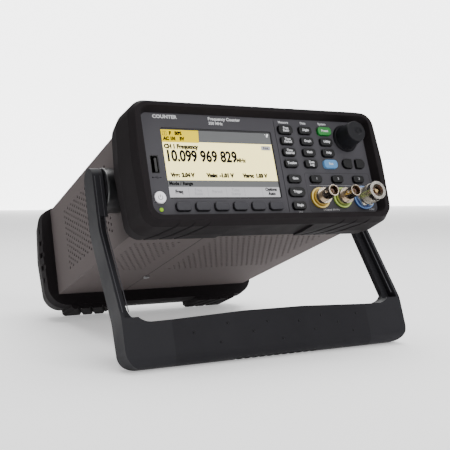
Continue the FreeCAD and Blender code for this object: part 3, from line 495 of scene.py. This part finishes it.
def usb_mark():
    """Small trident under the USB port."""
    x, z = USB_MARK
    shapes = [
        rect(x - 3.2, x + 3.0, z - 0.15, z + 0.15),
        rounded(x - 3.9, x - 2.7, z - 0.6, z + 0.6, 0.55, 4),
        [(x + 3.0, z - 0.5), (x + 4.0, z), (x + 3.0, z + 0.5)],
        [(x - 1.5, z + 0.1), (x - 0.4, z + 1.1), (x + 1.2, z + 1.1), (x + 1.2, z + 0.85),
         (x - 0.3, z + 0.85), (x - 1.2, z + 0.1)],
        [(x - 0.6, z - 0.1), (x + 0.3, z - 1.1), (x + 1.6, z - 1.1), (x + 1.6, z - 0.85),
         (x + 0.4, z - 0.85), (x - 0.3, z - 0.1)],
    ]
    plates("panel_usb_mark", shapes, -0.03, 0.02, "ink")


def ring_arc(bm, x, z, r, width, a0, a1, y0, y1, n=20):
    """Part of a flat ring as a closed solid."""
    outer = []
    inner = []
    for k in range(n + 1):
        a = math.radians(a0 + (a1 - a0) * k / n)
        outer.append((x + r * math.cos(a), z + r * math.sin(a)))
        inner.append((x + (r - width) * math.cos(a), z + (r - width) * math.sin(a)))
    add_prism(bm, outer + list(reversed(inner)), y0, y1)


def power_mark():
    bm = bmesh.new()
    y0, y1 = -1.83, -1.78
    ring_arc(bm, POWER_X, POWER_Z - 0.2, 1.9, 0.38, 125, 415, y0, y1)
    add_prism(bm, rect(POWER_X - 0.19, POWER_X + 0.19, POWER_Z, POWER_Z + 2.1), y0, y1)
    finish_piece("power_mark", bm, "ink", "power_button")


def key_legends():
    """Legends that ride on their keys; the grid is named column by column."""
    grid = [
        ("counter", "Freq\nRatio"), ("period", "Time\nPeriod"),
        ("interval", "Time\nInterval"), ("digits", "Totalize"),
        ("scale", "Digits"), ("statistics", "Graph"), ("limits", "Math"), ("filter", "Data\nLog"),
        ("preset", "Preset"), ("graph", "Utility"), ("utility", "Help"), ("run", "Run"),
    ]
    keys = []
    for i, (name, text) in enumerate(grid):
        column, row = divmod(i, len(GRID_Z))
        keys.append((name, "key_" + name, (text, GRID_X[column], GRID_Z[row], 2.1, "CENTER", 0.055, 0.95)))
    for name, z in zip(("gate", "trigger", "single"), LOW_Z):
        keys.append((name, "key_" + name, (name.capitalize(), LOW_X, z, 2.1, "CENTER", 0.055, 0.95)))
    for k, x in enumerate(CHANNEL_KEY_X, 1):
        keys.append(("channel_%d" % k, "channel_key_%d" % k, (str(k), x, LOW_Z[0], 2.0, "CENTER", 0.02)))
    for name, body, item in keys:
        letters("legend_" + name, [item], "print", body, KEY_FACE - 0.02, 0.04)


def band(bm, x, z, r_in, r_out, y0, y1, n=40):
    """Closed round band about an axis that runs front to back."""
    turns = [2 * math.pi * k / n for k in range(n)]

    def circle(r):
        return [(x + r * math.cos(a), z + r * math.sin(a)) for a in turns]

    frame_ring(bm, circle(r_out), circle(r_in), y0, y1)


def jack_details():
    """Painted highlight as a lighter band on the rim of each coloured ring, and the thread of the large
    jack.
    """
    for k, color in enumerate(("yellow", "green", "blue")):
        r = RING_RADII[k]
        bm = bmesh.new()
        band(bm, JACK_X[k], JACK_Z, r - 1.1, r - 0.05, -1.95, -1.55)
        finish_piece("ring_rim_%d" % (k + 1), bm, "rim_" + color, "chassis")
    bm = bmesh.new()
    for k in range(6):
        y = -15.4 + 1.5 * k
        band(bm, JACK_X[2], JACK_Z, 7.7, 8.2, y, y + 0.7, 48)
    finish_piece("jack_thread", bm, "silver", "chassis")


def grip_nubs():
    """Small raised dots on the front of the rubber grip."""
    spots = [
        (-74, -84), (-52, -93), (-44, -79), (-22, -87), (-8, -80), (4, -95),
        (22, -82), (36, -90), (44, -79), (60, -86), (74, -94), (80, -80),
    ]
    bm = bmesh.new()
    for x, z in spots:
        y = GRIP_FRONT + (z + 72.9) / 35.0 * 0.1 - 0.15 + 0.45
        bmesh.ops.create_icosphere(bm, subdivisions=2, radius=0.9, matrix=Matrix.Translation((x, y, z)))
    finish_piece("grip_nubs", bm, "key", "handle")


def round_corners(corners, radii, steps=6):
    """Path through side-view corners (y, z), with an arc of the given radius at each inner corner."""
    path = [Vector(corners[0])]
    for before, corner, after, r in zip(corners, corners[1:], corners[2:], radii):
        a = (Vector(before) - Vector(corner)).normalized()
        b = (Vector(after) - Vector(corner)).normalized()
        half_turn = (math.pi - a.angle(b)) / 2.0
        centre = Vector(corner) + (a + b).normalized() * (r / math.cos(half_turn))
        start = Vector(corner) + a * (r * math.tan(half_turn)) - centre
        end = Vector(corner) + b * (r * math.tan(half_turn)) - centre
        for k in range(steps + 1):
            spoke = (start * (steps - k) + end * k).normalized()
            path.append(centre + spoke * r)
    path.append(Vector(corners[-1]))
    return path


def add_strip(bm, path, x0, x1):
    """Closed raised strip from x0 to x1 along a side-view path (y, z), proud of it towards the front."""
    rows = []
    for i, p in enumerate(path):
        along = path[min(i + 1, len(path) - 1)] - path[max(i - 1, 0)]
        out = Vector((along.y, -along.x)).normalized()
        deep, proud = p - out * RIDGE_SUNK, p + out * RIDGE_PROUD
        rows.append([bm.verts.new(v) for v in ((x0, *deep), (x0, *proud), (x1, *proud), (x1, *deep))])
    for a, b in zip(rows, rows[1:]):
        for k in range(4):
            m = (k + 1) % 4
            bm.faces.new((a[k], a[m], b[m], b[k]))
    bm.faces.new(rows[0])
    bm.faces.new(list(reversed(rows[-1])))


def arm_ridges():
    """Fine raised lines down the front of both handle arms, in a lighter plastic that paints their
    highlight.
    """
    face = HUB_Y - ARM_DEPTH / 2.0
    path = round_corners([(face, 52.0), (face, 8.0), (GRIP_FRONT + 1.78, -64.0)], (30.0,))
    bm = bmesh.new()
    for side in (-1, 1):
        for across in RIDGE_ACROSS:
            add_strip(bm, path, side * (ARM_OUTSIDE - across - RIDGE_WIDTH), side * (ARM_OUTSIDE - across))
    finish_piece("arm_ridges", bm, "handle_ridge_painted_highlight", "handle")


def case_seam():
    """Seam of the folded sheet along the underside."""
    plates("case_seam", [rect(-36.3, -35.8, -0.06, 0.02)], 37.0, 255.0, "ink")


# ------------------------------------------------------------------ floor, lights, camera
FLOOR_SHINE, BACKDROP_SHINE, WORLD_SHINE = 0.45, 4.2, 0.35
FLOOR_NEAR, FLOOR_FAR = -4.0, 4.0          # metres, front to back
FLOOR_LEFT, FLOOR_RIGHT = -4.0, 6.0
BACKDROP_LEFT, BACKDROP_TOP = 0.3, 3.0


def sheet(name, corners, grey, shine):
    """Pale studio sheet that is not part of the object; shine is how strongly it is lit from behind."""
    mesh = bpy.data.meshes.new(name)
    mesh.from_pydata(corners, [], [(0, 1, 2, 3)])
    o = bpy.data.objects.new(name, mesh)
    bpy.context.scene.collection.objects.link(o)
    m, nt, bsdf = new_material(name)
    tex = noise(nt, 3.0)
    mix = nt.nodes.new("ShaderNodeMix")
    mix.data_type = "RGBA"
    mix.inputs["A"].default_value = [grey * 0.98] * 3 + [1.0]
    mix.inputs["B"].default_value = [grey] * 3 + [1.0]
    link(nt, tex.outputs["Fac"], mix.inputs["Factor"])
    link(nt, mix.outputs["Result"], bsdf.inputs["Base Color"])
    link(nt, mix.outputs["Result"], bsdf.inputs["Emission Color"])
    bsdf.inputs["Emission Strength"].default_value = shine
    bsdf.inputs["Roughness"].default_value = 0.9
    bsdf.inputs["Specular IOR Level"].default_value = 0.0
    mesh.materials.append(m)


def studio():
    floor = [(FLOOR_LEFT, FLOOR_NEAR, 0), (FLOOR_RIGHT, FLOOR_NEAR, 0),
             (FLOOR_RIGHT, FLOOR_FAR, 0), (FLOOR_LEFT, FLOOR_FAR, 0)]
    wall = [(BACKDROP_LEFT, FLOOR_FAR, 0), (FLOOR_RIGHT, FLOOR_FAR, 0),
            (FLOOR_RIGHT, FLOOR_FAR, BACKDROP_TOP), (BACKDROP_LEFT, FLOOR_FAR, BACKDROP_TOP)]
    sheet("floor", floor, 0.92, FLOOR_SHINE)
    sheet("backdrop", wall, 0.95, BACKDROP_SHINE)


def area(name, place, aim, size, power):
    """Soft rectangular light at a place in metres, turned towards a point."""
    data = bpy.data.lights.new(name, "AREA")
    data.shape = "RECTANGLE"
    data.size = size[0]
    data.size_y = size[1]
    data.energy = power
    o = bpy.data.objects.new(name, data)
    bpy.context.scene.collection.objects.link(o)
    o.location = place
    o.rotation_euler = (Vector(aim) - Vector(place)).to_track_quat("-Z", "Y").to_euler()


def camera():
    """Low camera to the left of the counter; its place and axes are given in the own frame."""
    data = bpy.data.cameras.new("camera")
    data.sensor_width = 36.0
    data.lens = 64.09
    data.clip_start = 0.01
    data.shift_x = 0.0009
    data.shift_y = -0.0012
    o = bpy.data.objects.new("camera", data)
    bpy.context.scene.collection.objects.link(o)
    right = TURN.to_3x3() @ Vector((0.88200, -0.44498, -0.15513))
    up = TURN.to_3x3() @ Vector((0.01915, -0.29508, 0.95528))
    back = TURN.to_3x3() @ Vector((-0.47086, -0.84553, -0.25174))
    axes = Matrix((right, up, back)).transposed().to_4x4()
    spot = OWN @ Vector((-338.285, -522.913, -162.213))
    o.matrix_world = Matrix.Translation(spot) @ axes
    bpy.context.scene.camera = o


def world():
    w = bpy.data.worlds.new("world")
    bpy.context.scene.world = w
    w.use_nodes = True
    background = w.node_tree.nodes["Background"]
    background.inputs["Color"].default_value = (1.0, 1.0, 1.0, 1.0)
    background.inputs["Strength"].default_value = WORLD_SHINE


# ------------------------------------------------------------------ the whole scene
paint_nodes()
smooth_nodes()
display_words(display_fields())
jack_details()
grip_nubs()
arm_ridges()
case_seam()
print_panel()
usb_mark()
power_mark()
key_legends()
studio()
world()
camera()
area("key_light", (0.35, -1.35, 0.95), (0, -0.1, 0.08), (1.2, 0.9), 17.0)
area("top_light", (0.2, 0.3, 1.7), (0, 0, 0.1), (1.8, 1.4), 42.0)
area("left_light", (-1.5, 0.5, 0.5), (0, 0.1, 0.05), (0.8, 0.8), 1.6)
